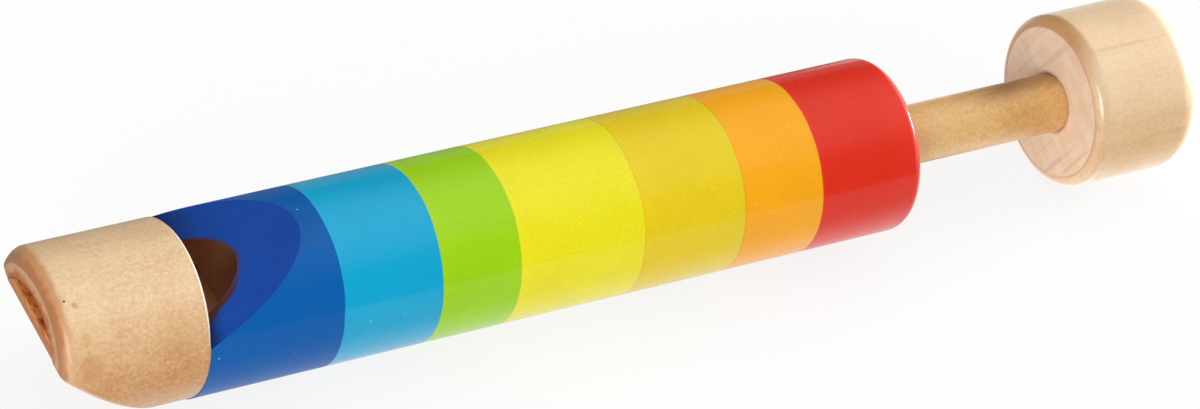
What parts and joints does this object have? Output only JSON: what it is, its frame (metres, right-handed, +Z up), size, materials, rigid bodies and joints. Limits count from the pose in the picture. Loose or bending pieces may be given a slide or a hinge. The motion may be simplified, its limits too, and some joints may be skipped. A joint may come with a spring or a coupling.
{
  "type": "slide whistle",
  "caption": "Wooden slide whistle: a painted barrel with a window, a bare beaked mouthpiece, and a sliding plunger with a turned knob that sets the pitch.",
  "frame": {"origin": "on the barrel's axis, halfway along the barrel", "axes": "+X along the axis from the mouthpiece to the knob, +Z up out of the window, +Y to the side"},
  "size_m": [0.2185, 0.0304, 0.0304],
  "materials": {
    "painted_wood": "seven bands of paint under gloss lacquer",
    "lacquered_wood": "clear satin lacquer on pale maple",
    "block_wood": "raw, turned",
    "rod_wood": "thin clear lacquer",
    "felt": "pressed wool felt",
    "steel": "zinc plated"
  },
  "bodies": {
    "barrel": {"barrel": "painted_wood", "mouthpiece": "lacquered_wood", "fipple_block": "block_wood", "end_bush": "block_wood"},
    "seal": {"piston_felt": "felt"},
    "plunger": {"plunger_rod": "rod_wood", "knob": "lacquered_wood", "piston_head": "block_wood", "piston_washer": "steel", "piston_screw": "steel"}
  },
  "joints": [
    {"name": "plunger_slide", "type": "slide", "parent": "barrel", "child": "seal", "axis": [1, 0, 0], "range_m": [-0.0362, 0.0579]},
    {"name": "plunger_twist", "type": "hinge", "parent": "seal", "child": "plunger", "pos_m": [0, 0, 0], "axis": [1, 0, 0], "continuous": true}
  ]
}
